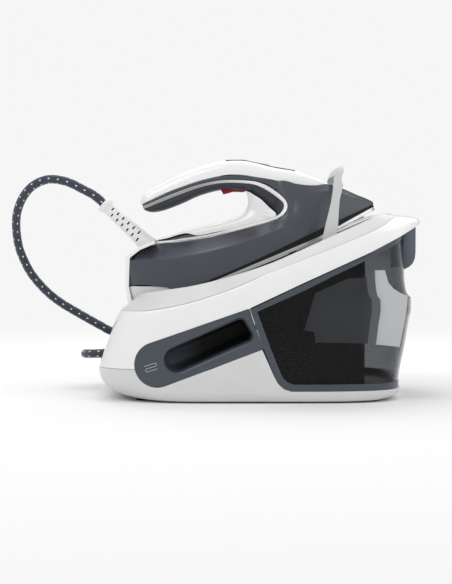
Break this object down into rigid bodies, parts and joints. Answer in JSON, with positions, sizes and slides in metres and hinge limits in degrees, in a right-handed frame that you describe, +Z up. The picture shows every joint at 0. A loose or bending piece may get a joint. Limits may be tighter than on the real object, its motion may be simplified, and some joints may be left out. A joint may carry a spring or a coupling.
{
  "type": "steam generator iron",
  "caption": "Steam iron with loop handle resting nose-up on a wedge-shaped boiler base with a smoked slide-out water tank, lock bail and braided steam hose.",
  "frame": {"origin": "centre of the base's footprint, on the surface that the feet rest on", "axes": "+X from the control panel end towards the beak and the iron's nose, +Y towards the hose compartment, +Z up"},
  "size_m": [0.4977, 0.236, 0.2805],
  "materials": {
    "white_gloss": "moulded gloss white",
    "light_satin": "moulded light grey",
    "slate_satin": "moulded slate grey, satin",
    "dark_grip": "soft dark grip",
    "black_plastic": "black, fine texture",
    "silver_lacquer": "silver lacquer",
    "smoked_clear": "clear smoked, polished",
    "red_lens": "clear red lens",
    "red_plastic": "dark red",
    "rubber": "matt black",
    "tube_silicone": "translucent silicone",
    "steel": "stainless",
    "cast_alloy": "die cast",
    "brass": "brass",
    "pump_plastic": "resin",
    "felt": "needled felt",
    "board": "green board",
    "hose_braid": "textile braid with white flecks"
  },
  "bodies": {
    "base": {"base_pan": "light_satin", "base_cover": "white_gloss", "cord_pocket": "slate_satin", "hose_pocket": "slate_satin", "iron_rest": "light_satin", "rest_pads": "rubber", "control_panel": "silver_lacquer", "indicator_lens": "red_lens", "feet": "rubber", "pan_screws": "steel", "bail_pins": "steel", "bail_catch": "slate_satin", "hose_gland": "rubber", "mains_gland": "rubber", "boiler_housing": "black_plastic", "boiler": "steel", "boiler_jacket": "felt", "boiler_heater": "steel", "boiler_thermostat": "black_plastic", "rinse_plug": "slate_satin", "steam_valve": "brass", "pump": "pump_plastic", "feed_tube": "tube_silicone", "boiler_tube": "tube_silicone", "steam_tube": "tube_silicone", "control_board": "board", "hose_loop": "hose_braid", "hose_stored": "hose_braid"},
    "power_key": {"power_button": "light_satin"},
    "eco_key": {"eco_button": "light_satin"},
    "rinse_key": {"rinse_button": "light_satin"},
    "bail": {"lock_bail": "light_satin"},
    "tank": {"water_tank": "smoked_clear", "tank_frame": "slate_satin", "tank_grip": "slate_satin", "tank_valve": "white_gloss", "tank_seal": "rubber"},
    "iron": {"soleplate": "steel", "heat_casting": "cast_alloy", "sole_heater": "steel", "heat_shield": "black_plastic", "iron_body": "slate_satin", "body_trim": "white_gloss", "handle_cap": "white_gloss", "handle_grip": "dark_grip", "handle_trim": "silver_lacquer", "inner_saddle": "white_gloss", "heel_cover": "white_gloss", "heel_skirt": "light_satin", "button_plate": "slate_satin", "trigger_pin": "steel", "trigger_spring": "steel", "trigger_switch": "black_plastic", "iron_thermostat": "black_plastic", "heel_screws": "steel", "hose_cuff": "white_gloss"},
    "trigger": {"steam_trigger": "red_plastic"},
    "boost_key": {"boost_button": "light_satin"}
  },
  "joints": [
    {"name": "iron_lift", "type": "slide", "parent": "base", "child": "iron", "axis": [-0.9063, 0, 0.4226], "range_m": [0, 0.1], "deforming": ["hose_loop"]},
    {"name": "bail_fold", "type": "hinge", "parent": "base", "child": "bail", "pos_m": [0.08, 0, 0.18], "axis": [0, 1, 0], "range_deg": [0, 45]},
    {"name": "tank_slide", "type": "slide", "parent": "base", "child": "tank", "axis": [1, 0, 0], "range_m": [0, 0.19]},
    {"name": "trigger_pull", "type": "hinge", "parent": "iron", "child": "trigger", "pos_m": [-0.01168, 0, 0.24771], "axis": [0, 1, 0], "range_deg": [0, 6], "stiffness_Nm_per_rad": 0.4, "deforming": ["trigger_spring"]},
    {"name": "boost_press", "type": "slide", "parent": "iron", "child": "boost_key", "axis": [-0.2385, 0, -0.9711], "range_m": [0, 0.001], "stiffness_N_per_m": 400},
    {"name": "power_press", "type": "slide", "parent": "base", "child": "power_key", "axis": [0.9462, 0, -0.3237], "range_m": [0, 0.002], "stiffness_N_per_m": 400},
    {"name": "eco_press", "type": "slide", "parent": "base", "child": "eco_key", "axis": [0.9462, 0, -0.3237], "range_m": [0, 0.0015], "stiffness_N_per_m": 400},
    {"name": "rinse_press", "type": "slide", "parent": "base", "child": "rinse_key", "axis": [0.9462, 0, -0.3237], "range_m": [0, 0.0015], "stiffness_N_per_m": 400}
  ]
}
